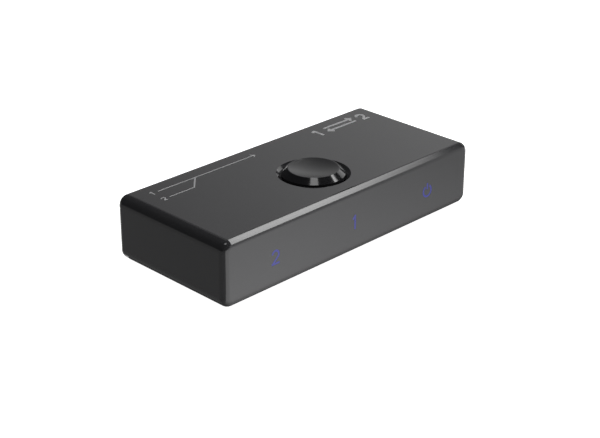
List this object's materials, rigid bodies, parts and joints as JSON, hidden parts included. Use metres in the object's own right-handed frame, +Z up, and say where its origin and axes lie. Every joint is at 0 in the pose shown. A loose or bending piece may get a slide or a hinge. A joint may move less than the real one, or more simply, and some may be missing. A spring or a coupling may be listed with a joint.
{
  "type": "hdmi switch box",
  "caption": "Low rounded black plastic video switch box with a dished round push button on top, lit marks in front and a row of sockets behind.",
  "frame": {"origin": "middle of the surface that the feet stand on, below the middle of the case", "axes": "+X along the length to the right seen from the front, +Y from the front with the lit marks to the back with the sockets, +Z up"},
  "size_m": [0.095, 0.0418, 0.021],
  "materials": {
    "shell_plastic": "fine satin moulded",
    "button_plastic": "satin top, polished flank",
    "foot_rubber": "matte",
    "zinc_screws": "zinc plated",
    "nickel_sheet": "nickel plated",
    "tinned_leads": "tinned",
    "crystal_can": "drawn can",
    "gold_contacts": "gold plated",
    "black_nylon": "moulded",
    "board_laminate": "solder resist",
    "chip_resin": "moulded",
    "capacitor_tan": "fired",
    "capacitor_yellow": "moulded",
    "lamp_resin": "clear cast",
    "clear_acrylic": "polished",
    "mark_blue": "translucent"
  },
  "bodies": {
    "case": {"top_shell": "shell_plastic", "bottom_cover": "shell_plastic", "feet": "foot_rubber", "cover_screws": "zinc_screws", "board_screws": "zinc_screws", "video_shell_1": "nickel_sheet", "video_shell_2": "nickel_sheet", "video_shell_3": "nickel_sheet", "power_shell": "nickel_sheet", "switch_lid": "nickel_sheet", "switch_pins": "tinned_leads", "control_chip_leads": "tinned_leads", "regulator_leads": "tinned_leads", "crystal": "crystal_can", "video_contacts_1": "gold_contacts", "video_contacts_2": "gold_contacts", "video_contacts_3": "gold_contacts", "power_contacts": "gold_contacts", "switch_dome": "gold_contacts", "video_insulator_1": "black_nylon", "video_insulator_2": "black_nylon", "video_insulator_3": "black_nylon", "power_insulator": "black_nylon", "switch_base": "black_nylon", "main_board": "board_laminate", "video_chip": "chip_resin", "control_chip": "chip_resin", "regulator": "chip_resin", "surge_arrays": "chip_resin", "resistors": "chip_resin", "capacitors": "capacitor_tan", "bulk_capacitors": "capacitor_yellow", "lamp_1": "lamp_resin", "lamp_2": "lamp_resin", "lamp_power": "lamp_resin", "light_guide_1": "clear_acrylic", "light_guide_2": "clear_acrylic", "light_guide_power": "clear_acrylic", "mark_1": "mark_blue", "mark_2": "mark_blue", "mark_power": "mark_blue"},
    "button": {"button_cap": "button_plastic"},
    "plunger": {"switch_plunger": "black_nylon"}
  },
  "joints": [
    {"name": "button_press", "type": "slide", "parent": "case", "child": "button", "axis": [0, 0, -1], "range_m": [0, 0.0005], "stiffness_N_per_m": 1200, "springref_m": -0.0008},
    {"name": "plunger_press", "type": "slide", "parent": "case", "child": "plunger", "axis": [0, 0, -1], "range_m": [0, 0.0005], "deforming": ["switch_dome"]}
  ],
  "couplings": [
    {"joint": "plunger_press", "follows": "button_press", "ratio": 1}
  ]
}
